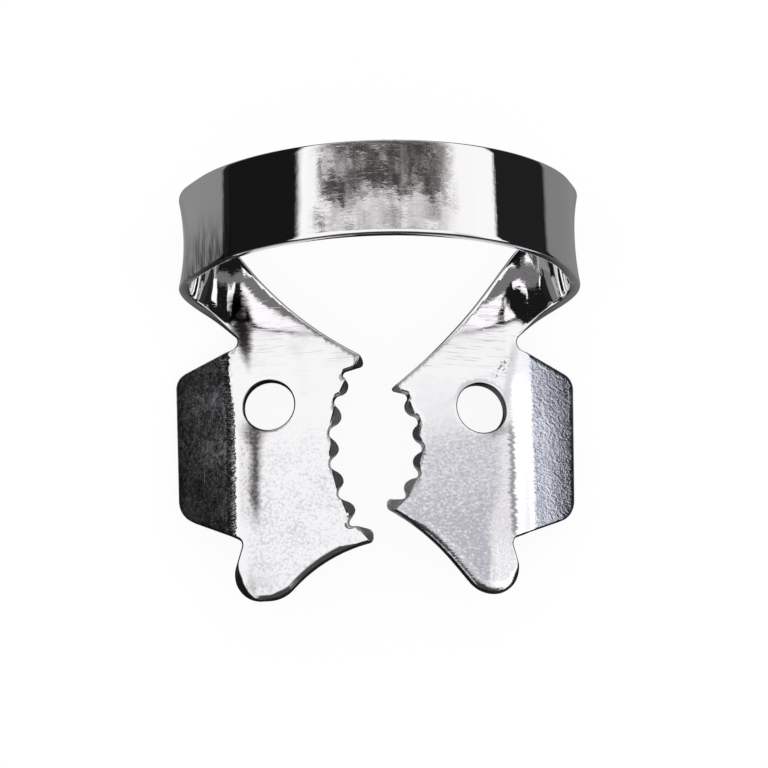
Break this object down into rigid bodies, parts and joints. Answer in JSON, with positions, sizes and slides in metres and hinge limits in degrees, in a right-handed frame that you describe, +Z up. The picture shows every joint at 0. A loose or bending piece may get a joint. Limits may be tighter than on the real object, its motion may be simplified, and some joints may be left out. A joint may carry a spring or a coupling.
{
  "type": "rubber dam clamp",
  "caption": "Winged dental dam clamp bent from one steel strip: a high bow, two jaw plates with forceps holes, side wings and serrated jaws that grip a tooth.",
  "frame": {"origin": "centre of the part's box at the level of the surface that it lies on", "axes": "+Z up from the surface, +Y from the front lobes to the bow, +X from the jaw with seven teeth to the jaw with six"},
  "size_m": [0.0202, 0.022, 0.0112],
  "materials": {
    "polished_steel": "bright polished spring steel, grained by tumbling on the plates and wings"
  },
  "bodies": {
    "root": {"clamp": "polished_steel"}
  },
  "joints": []
}
